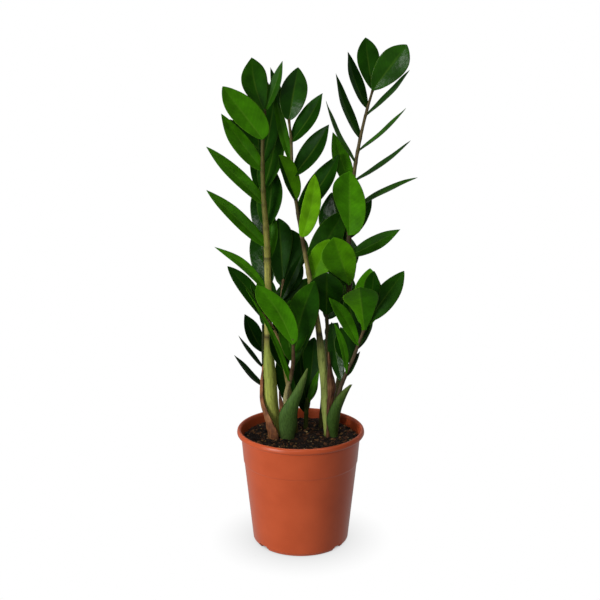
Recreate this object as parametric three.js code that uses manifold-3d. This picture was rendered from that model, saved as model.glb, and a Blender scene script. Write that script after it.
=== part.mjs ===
// A ZZ plant in a nursery pot: eleven stalks, each with its leaflets, stand in the soil of a 17 cm pot.
// Millimetres, +Z up. The origin is the centre of the pot's underside, and the front looks along -Y.

import * as THREE from "three";
import { mergeVertices } from "three/addons/utils/BufferGeometryUtils.js";
import Module from "manifold-3d";

const wasm = await Module();
wasm.setup();

// Pot, thin moulded plastic: a foot ring, a tapered wall with a faint step, and a rolled rim. The floor is
// raised inside the foot ring and comes down to the ground again at a pad in its middle.
const POT_SIDES = 32;
const POT_HEIGHT = 156.8;
const RIM_RADIUS = 85;
const RIM_DEPTH = 7.6;
const NECK_RADIUS = 79.4;
const STEP_RADIUS = 75.5;
const STEP_HEIGHT = 112;
const STEP_OUT = 0.9;
const HEEL_RADIUS = 64.2;
const HEEL_HEIGHT = 3.8;
const FOOT_RADIUS = 61.1;
const FOOT_WIDTH = 3.1;
const PAD_RADIUS = 16;
const WALL = 1.6;
const FLOOR = 2;
const FLOOR_HEIGHT = 4.2;
const SLOPE = 4;
const NOTCH_ANGLES = [51.5, 128.5, 231.5, 308.5];
const NOTCH_WIDTH = 14;
const NOTCH_DEPTH = 16;
const NOTCH_HEIGHT = 4;
const DRAIN_COUNT = 8;
const DRAIN_RADIUS = 4.5;
const DRAIN_CIRCLE = 40;
const DRAIN_SIDES = 10;

// Soil, and the fit of what stands in it
const SOIL_HEIGHT = 145;
const SOIL_EDGE = 76.2;
const SOIL_GAP = 0.4;
const LUMP = 1.1;
const FIT = 0.35;
const HOLE_TOP = 175;
const BURIED = 118;

// Leaflets and stems
const BLADE = 0.9;
const FOLD = 0.2;
const BOW = -0.055;
const LEAFLET_STATIONS = [0, 0.1, 0.28, 0.5, 0.72, 0.9, 1];
const BASE_REACH = 1.2;
const TIP_REACH = 0.5;
const WIDEST_BASE = 0.74;
const WIDEST_TIP = 0.62;
const STEM_SIDES = 6;
const STEM_STEP = 30;
const SHEATH_STATIONS = [-1, -0.4, 0.4, 1];

// Every stalk: its stem as [height, x, y, radius] from the buried foot to the top, and its leaflets as
// [height of the base, lean, away, length, width, turn, bow]. Lean is degrees right of upright, away is
// degrees to the back, turn rolls the upper face from the front towards the sky.
const STALKS = {
  stalk_left_tall: {
    colour: 0x4c8a1e,
    stem: [
      [BURIED, -33, -1, 7], [150, -34, -1, 7.5], [172, -37, -1, 9.2], [195, -40, 0, 10], [225, -41, 0, 9],
      [258, -42, 0, 6.6], [280, -43, 0, 4.6], [350, -42.5, 0, 3.9], [420, -44, 0, 3.5], [470, -47.5, 0, 3],
      [530, -48, 0, 2.3], [576, -45, 0, 1.8],
    ],
    leaflets: [
      [572, -13, -5, 71, 33, 0], [539, -35, -9, 80, 31, 20], [500, -34, -5, 86, 30, 46],
      [456, -44, 0, 102, 29, 61], [400, -44.5, 0, 107, 30, 60], [349, -50, -4, 89, 20, 76, 0],
      [574, 9, 31, 43, 20, 60], [573, 20, -2, 67, 22, 70], [507, 14, 28, 81, 26, 55],
      [474, 17, 29, 83, 28, 55], [426, 6, 22, 84, 32, 20], [382, 6, 22, 67, 24, 50],
    ],
  },
  stalk_left_back: {
    colour: 0x2a5c1a,
    stem: [
      [BURIED, -37, 41, 4.5], [160, -38, 43, 4.5], [250, -45, 52, 3.6], [400, -51, 56, 2.8],
      [534, -51, 54, 1.8],
    ],
    leaflets: [
      [528, -42, -4, 62, 26, 40], [458, -4, 8, 84, 25, 15], [400, -7, 4, 78, 28, 15],
      [335, -7, 0, 88, 32, 10], [533, 14, 30, 62, 26, 10], [497, 14, 52, 72, 30, 10],
      [438, 8, 55, 76, 31, 15], [370, 0, 55, 78, 32, 10], [300, -10, 45, 70, 30, 20],
    ],
  },
  stalk_left_low: {
    colour: 0x1f4a18,
    stem: [
      [BURIED, -45, 20, 3.6], [160, -48, 20, 3.6], [205, -52, 22, 3], [255, -52, 22, 2.2],
      [292, -51, 22, 1.5],
    ],
    leaflets: [
      [255, -25, 0, 58, 26, 44], [233, -36, -4, 57, 18, 82], [205, -41, -4, 63, 20, 79],
      [292, 2, 10, 52, 26, 20], [266, 45, 10, 42, 22, 30],
    ],
  },
  stalk_left_leaning: {
    colour: 0x2f6a1c,
    stem: [
      [BURIED, -5, 11, 3.8], [160, -8, 9, 3.8], [219, -17, -3, 3], [276, -27, -12, 2.3], [299, -37, -14, 2],
      [318, -50, -15, 1.5],
    ],
    leaflets: [
      [301, -36, -3, 98, 20, 42, 0.06], [295, -26, -7, 69, 20, 82], [318, -32, 16, 42, 16, 50],
      [262, 4, 20, 60, 26, 40], [240, -20, -10, 56, 24, 60],
    ],
  },
  stalk_middle_back: {
    colour: 0x1d4618,
    stem: [
      [BURIED, -16, 38, 4], [160, -18, 40, 4], [250, -24, 42, 3], [311, -26, 40, 2.4], [350, -23, 40, 1.7],
    ],
    leaflets: [
      [348, -5, 2, 87, 31, 15], [349, 23, 8, 73, 32, 10], [325, 26, -7, 68, 28, 74],
      [310, 44, 16, 58, 26, 40],
      [340, 12, 55, 62, 30, 15], [305, 20, 60, 70, 31, 15], [278, -5, 55, 66, 30, 15],
    ],
  },
  stalk_centre_tall: {
    colour: 0x2c6b1c,
    stem: [
      [BURIED, 37, 3, 5.4], [152, 37, 3, 5.8], [187, 34, 2, 5.8], [215, 33, 2, 5.8], [257, 29, 2, 5.6],
      [277, 26.5, 2, 4.4], [311, 21, 2, 3.9], [357, 12, 2, 3.6], [413, 2, 2, 3], [468, -7, 4, 2.5],
      [506, -11, 6, 2.1], [535, -12, 7, 1.9], [564, -15, 8, 1.6],
    ],
    leaflets: [
      [562, 10, -3, 66, 34, 5], [561, -19, 24, 80, 24, 68], [535, 33, -3, 73, 26, 42],
      [492, 35, -1, 80, 28, 40],
      [506, -12, 9, 103, 24, 74], [462, -18, -22, 65, 23, 52], [444, 34, -4, 92, 31, 35],
      [413, 14, -17, 90, 24, 38], [353, 29, 13, 59, 29, 10], [438, 20, 52, 72, 26, 10],
    ],
  },
  stalk_right_tall: {
    colour: 0x35701e,
    stem: [
      [BURIED, 42, 34, 4.6], [152, 43, 33, 4.6], [250, 57, 27, 4], [347, 64, 22, 3.6], [413, 63, 22, 3.1],
      [495, 69, 21, 2.5], [534, 75, 19, 2.2], [571, 83, 17, 1.9], [600, 91, 16, 1.6],
    ],
    leaflets: [
      [599, -9, -5, 63, 29, 10], [599, 36, -12, 69, 35, 5], [576, -20, 0, 74, 27, 56],
      [567, 44, 2, 78, 26, 81],
      [538, -21, 2, 87, 26, 63], [522, 48, 0, 81, 24, 84], [507, -26, -1, 86, 26, 79],
      [483, 54, -1, 89, 24, 84],
      [471, -18, -8, 79, 28, 42], [443, 61, -5, 94, 24, 83, 0.02], [407, 29, 24, 70, 18, 60],
      [413, -2, -19, 92, 44, 0],
      [385, 61, 2, 71, 23, 52], [349, -19, -34, 87, 44, 0, 0.02], [375, -23, 14, 91, 38, 0],
      [346, -35, 19, 74, 36, 10],
      [438, -8, 54, 76, 30, 10], [366, -5, 56, 74, 31, 10], [312, -5, 46, 72, 31, 15],
    ],
  },
  stalk_right_leaning: {
    colour: 0x3c7c1c,
    stem: [
      [BURIED, 46, 14, 3.8], [150, 46, 12, 3.8], [185, 48.5, 1, 3.5], [218, 53, -12, 3.1],
      [256, 67, -21, 2.7],
      [296, 80, -29, 2.3], [316, 88, -32, 1.8],
    ],
    leaflets: [
      [313, 31, -9, 79, 25, 24, 0], [304, 3, -7, 75, 35, 0], [311, 12, 12, 66, 25, 40],
      [313, -23, -42, 68, 43, 0, -0.12],
      [278, -30, -15, 85, 27, 50], [271, -17, 15, 69, 27, 50], [240, -17, -18, 79, 25, 62],
      [222, -9, -9, 88, 28, 52], [230, 29, 0, 42, 20, 74], [268, 30, 19, 50, 22, 72],
    ],
  },
  stalk_front_low: {
    colour: 0x4d8c1f,
    stem: [
      [BURIED, -16, 2, 5], [150, -17, 0, 5], [185, -19.5, -8, 4.4], [210, -18.5, -17, 3.6],
      [240, -12, -28, 3],
      [262, -9.5, -36, 2.6], [290, -10, -43, 2],
    ],
    leaflets: [
      [286, -29, -12, 95, 34, 8], [233, -23, -9, 98, 26, 68], [248, 14, 0, 121, 34, 8],
      [258, 0, 14, 72, 26, 15], [268, 16, 28, 56, 22, 20],
    ],
  },
  stalk_right_back: {
    colour: 0x1e4a18,
    stem: [
      [BURIED, 27, 31, 3.6], [150, 28, 31, 3.6], [220, 33, 33, 3.1], [274, 36, 34, 2.9], [309, 34, 34, 1.9],
    ],
    leaflets: [
      [305, -4, -12, 62, 37, 0], [306, -20, 20, 54, 26, 30], [296, 20, 50, 66, 29, 15],
      [268, -14, 56, 64, 28, 15],
      [240, 18, 54, 62, 28, 15],
    ],
  },
  shoot_centre_back: {
    colour: 0x23501a,
    stem: [
      [BURIED, 7, 33, 3.2], [150, 7, 32, 3.2], [187, 9, 31, 2.2],
    ],
    leaflets: [
      [178, 18, -12, 48, 20, 60], [181, 5, 3, 88, 24, 44], [176, -6, 10, 83, 22, 50],
      [180, 10, 50, 60, 24, 10],
    ],
  },
};

// Every sheath, the leafless wrapper at a stalk's foot, as rows of
// [height, x, y, facing, half width, bulge, thickness]; facing is degrees from the front towards +X.
const SHEATHS = {
  sheath_green_front: {
    colour: 0x4a6a30,
    rows: [
      [BURIED, -17, -13, 0, 7, 3, 2.4], [146, -17.5, -14, 0, 9, 4, 2.6], [166, -17, -19, 0, 12, 5, 2.6],
      [185, -16, -25, 0, 12, 5, 2.4], [200, -11, -29, 0, 9.5, 4, 2.2], [216, -4, -33, 0, 7, 3, 2],
      [236, 3.5, -38, 0, 4, 1.5, 1.6], [251, 8.5, -42, 0, 1, 0.3, 1],
    ],
  },
  sheath_green_right: {
    colour: 0x4a6a2c,
    rows: [
      [BURIED, 49, -3, 0, 4, 2, 2.2], [149, 48.6, -5, 0, 7, 3, 2.6], [172, 46, -12.5, 0, 10, 5, 2.6],
      [187, 46.5, -17, 0, 9, 4, 2.4], [204, 52, -22, 0, 7, 3, 2.2], [216, 58.5, -25, 0, 4.8, 2, 1.8],
      [225, 65.5, -27, 0, 1.6, 0.5, 1.2],
    ],
  },
  sheath_brown_left: {
    colour: 0x9a6544,
    rows: [
      [BURIED, -38, -11, -40, 8, 2.4, 0.9], [150, -39, -12, -42, 8.5, 2.6, 0.9],
      [170, -46, -9, -58, 8, 3, 0.9],
      [195, -52, -3, -82, 7, 2.4, 0.9], [220, -52.5, -1, -85, 5.5, 2, 0.9],
      [243, -51.5, 0, -88, 1.4, 0.3, 0.9],
    ],
  },
  sheath_brown_centre: {
    colour: 0x6a4530,
    rows: [
      [BURIED, 36.5, -5.2, 8, 2.6, 0.8, 0.9], [150, 36.5, -5.6, 8, 2.6, 0.8, 0.9],
      [187, 37.6, -6.4, 20, 3.6, 1.2, 0.9],
      [211, 41, -6.5, 30, 7, 2.6, 0.9], [230, 39, -6.5, 34, 5, 1.8, 0.9],
      [263, 36.5, -5.5, 30, 1, 0.3, 0.9],
    ],
  },
  sheath_brown_small: {
    colour: 0x7a4530,
    rows: [
      [BURIED, -23.5, -7, 10, 2.4, 0.6, 0.9], [150, -24, -8, 10, 2.6, 0.6, 0.9],
      [190, -25.5, -14, 0, 3, 0.8, 0.9],
      [213, -28, -17, 0, 0.8, 0.2, 0.9],
    ],
  },
};

// A closed solid through rings of points. Each ring runs along one face and back along the other, and
// the quads of both faces are split the same way, so that thin blades never cross themselves.
function loft(rings) {
  const count = rings[0].length;
  const half = count / 2;
  const positions = rings.flat().flatMap((point) => point.toArray());
  const triangles = [];
  for (let ring = 0; ring < rings.length - 1; ring += 1) {
    for (let i = 0; i < count; i += 1) {
      const next = (i + 1) % count;
      const [a, b] = [ring * count + i, ring * count + next];
      const [c, d] = [b + count, a + count];
      const backFace = i >= half && i < count - 1;
      triangles.push(...(backFace ? [a, b, d, b, c, d] : [a, b, c, a, c, d]));
    }
  }
  const last = (rings.length - 1) * count;
  for (let i = 0; i < half - 1; i += 1) {
    const [a, b, c, d] = [i, i + 1, count - 2 - i, count - 1 - i];
    triangles.push(a, c, b, a, d, c);
    triangles.push(last + a, last + b, last + c, last + a, last + c, last + d);
  }
  return solidFrom(positions, triangles);
}

function solidFrom(positions, triangles) {
  const mesh = new wasm.Mesh({
    numProp: 3,
    vertProperties: Float32Array.from(positions),
    triVerts: Uint32Array.from(triangles),
  });
  const solid = new wasm.Manifold(mesh);
  return solid.volume() < 0 ? new wasm.Manifold(turnedOut(mesh)) : solid;
}

function turnedOut(mesh) {
  const triVerts = mesh.triVerts.slice();
  for (let i = 0; i < triVerts.length; i += 3) {
    [triVerts[i], triVerts[i + 1]] = [triVerts[i + 1], triVerts[i]];
  }
  return new wasm.Mesh({ numProp: 3, vertProperties: mesh.vertProperties, triVerts });
}

function solidOf(geometry) {
  const bare = geometry.clone();
  bare.deleteAttribute("normal");
  bare.deleteAttribute("uv");
  const merged = mergeVertices(bare, 1e-4);
  return solidFrom(merged.attributes.position.array, merged.index.array);
}

function piece(name, solid, colour, roughness) {
  const mesh = solid.getMesh();
  const geometry = new THREE.BufferGeometry();
  geometry.setAttribute("position", new THREE.BufferAttribute(Float32Array.from(mesh.vertProperties), 3));
  geometry.setIndex(new THREE.BufferAttribute(Uint32Array.from(mesh.triVerts), 1));
  const material = new THREE.MeshStandardMaterial({ color: colour, roughness, metalness: 0 });
  const result = new THREE.Mesh(geometry, material);
  result.name = name;
  return result;
}

// The stem's middle and radius at a height, on a smooth curve through its rows.
function stemAt(stem, height) {
  let row = 0;
  while (row < stem.length - 2 && height > stem[row + 1][0]) {
    row += 1;
  }
  const slope = (i, column) => {
    const before = stem[Math.max(i - 1, 0)];
    const after = stem[Math.min(i + 1, stem.length - 1)];
    return (after[column] - before[column]) / (after[0] - before[0]);
  };
  const [low, high] = [stem[row], stem[row + 1]];
  const span = high[0] - low[0];
  const t = (height - low[0]) / span;
  const blend = (column) =>
    low[column] * (1 + 2 * t) * (1 - t) ** 2 + high[column] * t * t * (3 - 2 * t)
    + span * t * (1 - t) * (slope(row, column) * (1 - t) - slope(row + 1, column) * t);
  return [blend(1), blend(2), blend(3)];
}

function stemSolid(stem, grow = 0, lowest = stem[0][0], highest = stem[stem.length - 1][0]) {
  const steps = Math.ceil((highest - lowest) / STEM_STEP);
  const rings = [];
  for (let i = 0; i <= steps; i += 1) {
    const height = lowest + ((highest - lowest) * i) / steps;
    const [x, y, radius] = stemAt(stem, height);
    rings.push(Array.from({ length: STEM_SIDES }, (_, side) => {
      const angle = (2 * Math.PI * side) / STEM_SIDES;
      const reach = radius + grow;
      return new THREE.Vector3(x + reach * Math.cos(angle), y + reach * Math.sin(angle), height);
    }));
  }
  return loft(rings);
}

// One leaflet: pointed at both ends, folded along its midrib and bowed towards its upper face.
function leafletSolid(stem, [height, lean, away, length, width, turn, bow = BOW]) {
  const [x, y] = stemAt(stem, height);
  const base = new THREE.Vector3(x, y, height);
  const [leanAngle, awayAngle, turnAngle] = [lean, away, turn].map(THREE.MathUtils.degToRad);
  const along = new THREE.Vector3(
    Math.sin(leanAngle) * Math.cos(awayAngle),
    Math.sin(awayAngle),
    Math.cos(leanAngle) * Math.cos(awayAngle),
  );
  const front = new THREE.Vector3(0, -1, 0);
  front.addScaledVector(along, -front.dot(along)).normalize();
  const skyward = new THREE.Vector3().crossVectors(along, front).multiplyScalar(lean < 0 ? 1 : -1);
  const face = front.multiplyScalar(Math.cos(turnAngle)).addScaledVector(skyward, Math.sin(turnAngle));
  const side = new THREE.Vector3().crossVectors(face, along);
  const peak = WIDEST_BASE / (WIDEST_BASE + WIDEST_TIP);
  const outline = (s) => s ** WIDEST_BASE * (1 - s) ** WIDEST_TIP;
  return loft(LEAFLET_STATIONS.map((s) => {
    const reach = Math.max((width / 2) * outline(s) / outline(peak), s < peak ? BASE_REACH : TIP_REACH);
    const middle = base.clone().addScaledVector(along, length * s);
    middle.addScaledVector(face, length * bow * Math.sin(Math.PI * s));
    const point = (across, skin) => middle.clone()
      .addScaledVector(side, across * reach)
      .addScaledVector(face, Math.abs(across) * reach * FOLD + (skin * BLADE) / 2);
    return [point(-1, 1), point(0, 1), point(1, 1), point(1, -1), point(0, -1), point(-1, -1)];
  }));
}

function stalkSolid({ stem, leaflets }) {
  return wasm.Manifold.union([stemSolid(stem), ...leaflets.map((leaflet) => leafletSolid(stem, leaflet))]);
}

// A sheath is a strip that curves round the stalk behind it, drawn in to a point at the top.
function sheathSolid(rows, grow = 0) {
  return loft(rows.map(([height, x, y, facing, halfWidth, bulge, thickness]) => {
    const angle = THREE.MathUtils.degToRad(facing);
    const point = (across, depth) => {
      const wide = across * (halfWidth + grow);
      const out = bulge * (1 - across * across) + depth;
      return new THREE.Vector3(
        x + wide * Math.cos(angle) + out * Math.sin(angle),
        y + wide * Math.sin(angle) - out * Math.cos(angle),
        height,
      );
    };
    const skin = thickness / 2 + grow;
    return [
      ...SHEATH_STATIONS.map((s) => point(s, skin)),
      ...SHEATH_STATIONS.toReversed().map((s) => point(s, -skin)),
    ];
  }));
}

// Half the pot's section as [radius, height]: out along the underside, up the wall, over the rim and back
// down inside.
function potProfile() {
  const footInside = FOOT_RADIUS - FOOT_WIDTH;
  const floorTop = FLOOR_HEIGHT + FLOOR;
  return [
    [0, 0], [PAD_RADIUS, 0], [PAD_RADIUS + SLOPE, FLOOR_HEIGHT], [footInside - SLOPE, FLOOR_HEIGHT],
    [footInside, 0], [FOOT_RADIUS, 0], [FOOT_RADIUS + 0.7, HEEL_HEIGHT - 1.2], [HEEL_RADIUS, HEEL_HEIGHT],
    [STEP_RADIUS, STEP_HEIGHT - 1], [STEP_RADIUS + STEP_OUT, STEP_HEIGHT + 0.6],
    [NECK_RADIUS, POT_HEIGHT - RIM_DEPTH - 1.8], [RIM_RADIUS - 1.2, POT_HEIGHT - RIM_DEPTH],
    [RIM_RADIUS, POT_HEIGHT - 5.4], [RIM_RADIUS - 0.5, POT_HEIGHT - 1.9], [RIM_RADIUS - 2.2, POT_HEIGHT],
    [RIM_RADIUS - 4.6, POT_HEIGHT - 0.5], [NECK_RADIUS - 0.3, POT_HEIGHT - 4],
    [STEP_RADIUS + STEP_OUT - WALL, STEP_HEIGHT + 0.6], [STEP_RADIUS - WALL, STEP_HEIGHT - 1],
    [HEEL_RADIUS - WALL + 0.2, floorTop + 2.2], [footInside + 2, floorTop], [PAD_RADIUS + 3, floorTop],
    [PAD_RADIUS - 1, FLOOR], [0, FLOOR],
  ];
}

function lathe(profile) {
  const points = profile.map(([radius, height]) => new THREE.Vector2(radius, height));
  return new THREE.LatheGeometry(points, POT_SIDES).rotateX(Math.PI / 2);
}

function potSolid() {
  const cutters = NOTCH_ANGLES.map((angle) => {
    const notch = new THREE.BoxGeometry(NOTCH_WIDTH, NOTCH_DEPTH, 2 * NOTCH_HEIGHT);
    notch.translate(0, -FOOT_RADIUS, 0).rotateZ(THREE.MathUtils.degToRad(angle));
    return solidOf(notch);
  });
  for (let i = 0; i < DRAIN_COUNT; i += 1) {
    const drain = new THREE.CylinderGeometry(DRAIN_RADIUS, DRAIN_RADIUS, 6 * FLOOR, DRAIN_SIDES);
    drain.rotateX(Math.PI / 2).translate(DRAIN_CIRCLE, 0, FLOOR_HEIGHT);
    cutters.push(solidOf(drain.rotateZ((2 * Math.PI * i) / DRAIN_COUNT)));
  }
  return solidOf(lathe(potProfile())).subtract(wasm.Manifold.union(cutters));
}

// Half the soil's section: it follows the inside of the pot a small gap away, and is open to lumps on top.
function soilProfile() {
  const bottom = FLOOR + SOIL_GAP;
  const floorTop = FLOOR_HEIGHT + FLOOR + SOIL_GAP;
  const wall = STEP_RADIUS - WALL - SOIL_GAP;
  return [
    [0, bottom], [PAD_RADIUS - 1.6, bottom], [PAD_RADIUS + 2.6, floorTop],
    [FOOT_RADIUS - FOOT_WIDTH + 1.8, floorTop], [HEEL_RADIUS - WALL - SOIL_GAP + 0.1, floorTop + 2.2],
    [wall, STEP_HEIGHT - 0.4], [SOIL_EDGE, SOIL_HEIGHT - 1.5], [0.82 * SOIL_EDGE, SOIL_HEIGHT],
    [0.55 * SOIL_EDGE, SOIL_HEIGHT], [0.28 * SOIL_EDGE, SOIL_HEIGHT], [0, SOIL_HEIGHT],
  ];
}

// The soil has a lumpy top and a plain hole for each thing that stands in it.
function soilSolid() {
  const geometry = lathe(soilProfile());
  const place = geometry.attributes.position;
  for (let i = 0; i < place.count; i += 1) {
    const [x, y, z] = [place.getX(i), place.getY(i), place.getZ(i)];
    if (z > SOIL_HEIGHT - 0.5) {
      place.setZ(i, z + LUMP * (Math.sin(x / 9 + 1) * Math.cos(y / 8) + 0.6 * Math.sin((x + 2 * y) / 11)));
    }
  }
  const holes = [
    ...Object.values(STALKS).map(({ stem }) => stemSolid(stem, FIT, BURIED - FIT, HOLE_TOP)),
    ...Object.values(SHEATHS).map(({ rows: [foot, ...rest] }) =>
      sheathSolid([[BURIED - FIT, ...foot.slice(1)], ...rest], FIT)),
  ];
  return solidOf(geometry).subtract(wasm.Manifold.union(holes));
}

const group = new THREE.Group();
group.add(piece("pot", potSolid(), 0xc55a38, 0.45));
group.add(piece("soil", soilSolid(), 0x2e1f16, 0.95));
for (const [name, stalk] of Object.entries(STALKS)) {
  group.add(piece(name, stalkSolid(stalk), stalk.colour, 0.35));
}
for (const [name, { rows, colour }] of Object.entries(SHEATHS)) {
  group.add(piece(name, sheathSolid(rows), colour, 0.6));
}

export default group;
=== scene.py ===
import math
import random

import bmesh
import bpy
from mathutils import Matrix, Vector, noise


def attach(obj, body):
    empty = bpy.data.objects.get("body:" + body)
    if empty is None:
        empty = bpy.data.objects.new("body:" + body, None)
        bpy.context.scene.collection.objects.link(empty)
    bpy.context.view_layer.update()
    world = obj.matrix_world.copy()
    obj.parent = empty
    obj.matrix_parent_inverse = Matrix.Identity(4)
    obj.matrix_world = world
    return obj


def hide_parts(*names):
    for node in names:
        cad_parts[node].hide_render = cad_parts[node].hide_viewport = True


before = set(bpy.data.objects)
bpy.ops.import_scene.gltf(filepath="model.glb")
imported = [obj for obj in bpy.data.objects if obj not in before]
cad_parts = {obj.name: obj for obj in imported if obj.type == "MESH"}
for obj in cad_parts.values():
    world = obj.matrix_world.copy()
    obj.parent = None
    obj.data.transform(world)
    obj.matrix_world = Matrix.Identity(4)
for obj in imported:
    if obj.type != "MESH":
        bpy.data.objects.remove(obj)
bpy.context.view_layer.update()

# --- Nursery pot -----------------------------------------------------------------------------------------
# A 17 cm round pot, injection moulded in polypropylene with terracotta pigment. The wall tapers to a foot
# ring with four notches that let water run out, and the rim is rolled over for stiffness.

MM = 0.001
POT_HEIGHT = 156.8
RIM_RADIUS = 85
RIM_ROLL = ((1.2, 7.6), (0, 5.4), (0.5, 1.9), (2.2, 0), (4.6, 0.5))
LIP_DEPTH = 4
NECK_RADIUS = 79.4
NECK_HEIGHT = 147.4
STEP_RADIUS = 75.5
STEP_OUT = 0.9
STEP_LOW = 111
STEP_HIGH = 112.6
HEEL_RADIUS = 64.2
HEEL_HEIGHT = 3.8
HEEL_RISE = 2.2
FOOT_RADIUS = 61.1
FOOT_WIDTH = 3.1
PAD_RADIUS = 16
WALL = 1.6
FLOOR = 2
FLOOR_HEIGHT = 4.2
SLOPE = 4
POT_SEGMENTS = 192
CORNER_ROUND = 0.9
CORNER_STEPS = 4
SHARP_ANGLE = 40
NOTCH_ANGLES = (51.5, 128.5, 231.5, 308.5)
NOTCH_SIZE = (16, 16, 12)
DRAIN_COUNT = 8
DRAIN_RADIUS = 4.5
DRAIN_CIRCLE = 40
DRAIN_SEGMENTS = 28


def linear(colour):
    """An sRGB hex colour as linear red, green, blue and alpha."""
    parts = [int(colour[i:i + 2], 16) / 255 for i in (1, 3, 5)]
    return (*(p / 12.92 if p <= 0.04045 else ((p + 0.055) / 1.055) ** 2.4 for p in parts), 1)


def feed(tree, node, inputs):
    """Gives a node's inputs their values, or links them to the sockets that feed them."""
    for name, value in inputs.items():
        if isinstance(value, bpy.types.NodeSocket):
            tree.links.new(value, node.inputs[name])
        else:
            node.inputs[name].default_value = value


def add(tree, kind, inputs=None, output=None, stops=(), **settings):
    """Adds a shader node and gives the output that is named, or else its first. Stops are a colour ramp's
    (position, sRGB hex) pairs."""
    node = tree.nodes.new("ShaderNode" + kind)
    for name, value in settings.items():
        setattr(node, name, value)
    feed(tree, node, inputs or {})
    for i, (position, colour) in enumerate(stops):
        marks = node.color_ramp.elements
        mark = marks[i] if i < 2 else marks.new(position)
        mark.position = position
        mark.color = linear(colour)
    first = next((socket for socket in node.outputs if socket.enabled), None)
    return node.outputs[output] if output else first


def new_material(name):
    """A node material, with its tree and its Principled shader."""
    material = bpy.data.materials.new(name)
    material.use_nodes = True
    return material, material.node_tree, material.node_tree.nodes["Principled BSDF"]


def moulded_polypropylene():
    """Polypropylene, injection moulded and satin: even pigment with faint clouds a few cm wide, and a fine
    skin that softens a reflection."""
    material, tree, shader = new_material("moulded_polypropylene")
    where = add(tree, "TexCoord", output="Object")
    cloud = add(tree, "TexNoise", {"Vector": where, "Scale": 1 / (40 * MM), "Detail": 3})
    pigment = add(tree, "ValToRGB", {"Fac": cloud}, stops=[(0.3, "#B84E28"), (0.7, "#C4562E")])
    skin = add(tree, "TexNoise", {"Vector": where, "Scale": 1 / (1.2 * MM), "Detail": 2})
    bump = add(tree, "Bump", {"Height": skin, "Strength": 0.05, "Distance": 0.3 * MM})
    rub = add(tree, "MapRange", {
        "Value": cloud, "From Min": 0.3, "From Max": 0.7, "To Min": 0.3, "To Max": 0.38})
    feed(tree, shader, {
        "Base Color": pigment,
        "Normal": bump,
        "Roughness": rub,
        "IOR": 1.49,
        "Specular IOR Level": 0.35,
    })
    return material


def place(name, points, faces, materials, smooth=True):
    """Makes an object from points in millimetres."""
    mesh = bpy.data.meshes.new(name)
    mesh.from_pydata([Vector(p) * MM for p in points], [], faces)
    for material in materials:
        mesh.materials.append(material)
    mesh.polygons.foreach_set("use_smooth", [smooth] * len(faces))
    piece = bpy.data.objects.new(name, mesh)
    bpy.context.scene.collection.objects.link(piece)
    return piece


def rounded(profile):
    """A profile of (radius, height) with each corner turned into a small curve."""
    corners = [Vector(p) for p in profile]
    path = [corners[0]]
    for before, corner, after in zip(corners, corners[1:], corners[2:]):
        reach = min(CORNER_ROUND, 0.45 * (corner - before).length, 0.45 * (after - corner).length)
        start = corner + (before - corner).normalized() * reach
        end = corner + (after - corner).normalized() * reach
        for step in range(CORNER_STEPS + 1):
            t = step / CORNER_STEPS
            path.append(start * (1 - t) ** 2 + corner * 2 * t * (1 - t) + end * t * t)
    return path + [corners[-1]]


def turned(profile, segments):
    """The points and faces of a profile turned about the upright axis, from the axis back to the axis."""
    points = [(0, 0, profile[0][1])]
    for radius, height in profile[1:-1]:
        for i in range(segments):
            angle = 2 * math.pi * i / segments
            points.append((radius * math.cos(angle), radius * math.sin(angle), height))
    points.append((0, 0, profile[-1][1]))
    faces = []
    rings = len(profile) - 2
    for i in range(segments):
        j = (i + 1) % segments
        faces.append((0, 1 + j, 1 + i))
        for ring in range(rings - 1):
            low, high = 1 + ring * segments, 1 + (ring + 1) * segments
            faces.append((low + i, low + j, high + j, high + i))
        last = 1 + (rings - 1) * segments
        faces.append((last + i, last + j, len(points) - 1))
    return points, faces


def pot_profile():
    """The pot's section: under the floor, up the outside, over the rolled rim and down the inside."""
    foot_inside = FOOT_RADIUS - FOOT_WIDTH
    floor_top = FLOOR_HEIGHT + FLOOR
    underside = [
        (0, 0), (PAD_RADIUS, 0), (PAD_RADIUS + SLOPE, FLOOR_HEIGHT), (foot_inside - SLOPE, FLOOR_HEIGHT),
        (foot_inside, 0), (FOOT_RADIUS, 0),
    ]
    outside = [
        (FOOT_RADIUS + 0.7, HEEL_HEIGHT - 1.2), (HEEL_RADIUS, HEEL_HEIGHT), (STEP_RADIUS, STEP_LOW),
        (STEP_RADIUS + STEP_OUT, STEP_HIGH), (NECK_RADIUS, NECK_HEIGHT),
    ]
    rim = [(RIM_RADIUS - inward, POT_HEIGHT - down) for inward, down in RIM_ROLL]
    inside = [
        (NECK_RADIUS - 0.3, POT_HEIGHT - LIP_DEPTH), (STEP_RADIUS + STEP_OUT - WALL, STEP_HIGH),
        (STEP_RADIUS - WALL, STEP_LOW), (HEEL_RADIUS - WALL + 0.2, floor_top + HEEL_RISE),
        (foot_inside + 2, floor_top), (PAD_RADIUS + 3, floor_top), (PAD_RADIUS - 1, FLOOR), (0, FLOOR),
    ]
    return underside + outside + rim + inside


def as_object(name, form, turn):
    """Turns a bmesh into an object, with the turn taken into its points."""
    bmesh.ops.transform(form, matrix=turn, verts=form.verts)
    mesh = bpy.data.meshes.new(name)
    form.to_mesh(mesh)
    form.free()
    made = bpy.data.objects.new(name, mesh)
    bpy.context.scene.collection.objects.link(made)
    return made


def notch_cutters():
    """A block across the foot ring at each notch."""
    cutters = []
    for angle in NOTCH_ANGLES:
        form = bmesh.new()
        bmesh.ops.create_cube(form, size=1, matrix=Matrix.Diagonal((*(s * MM for s in NOTCH_SIZE), 1)))
        bmesh.ops.translate(form, vec=(0, -FOOT_RADIUS * MM, 0), verts=form.verts)
        cutters.append(as_object("notch", form, Matrix.Rotation(math.radians(angle), 4, "Z")))
    return cutters


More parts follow.
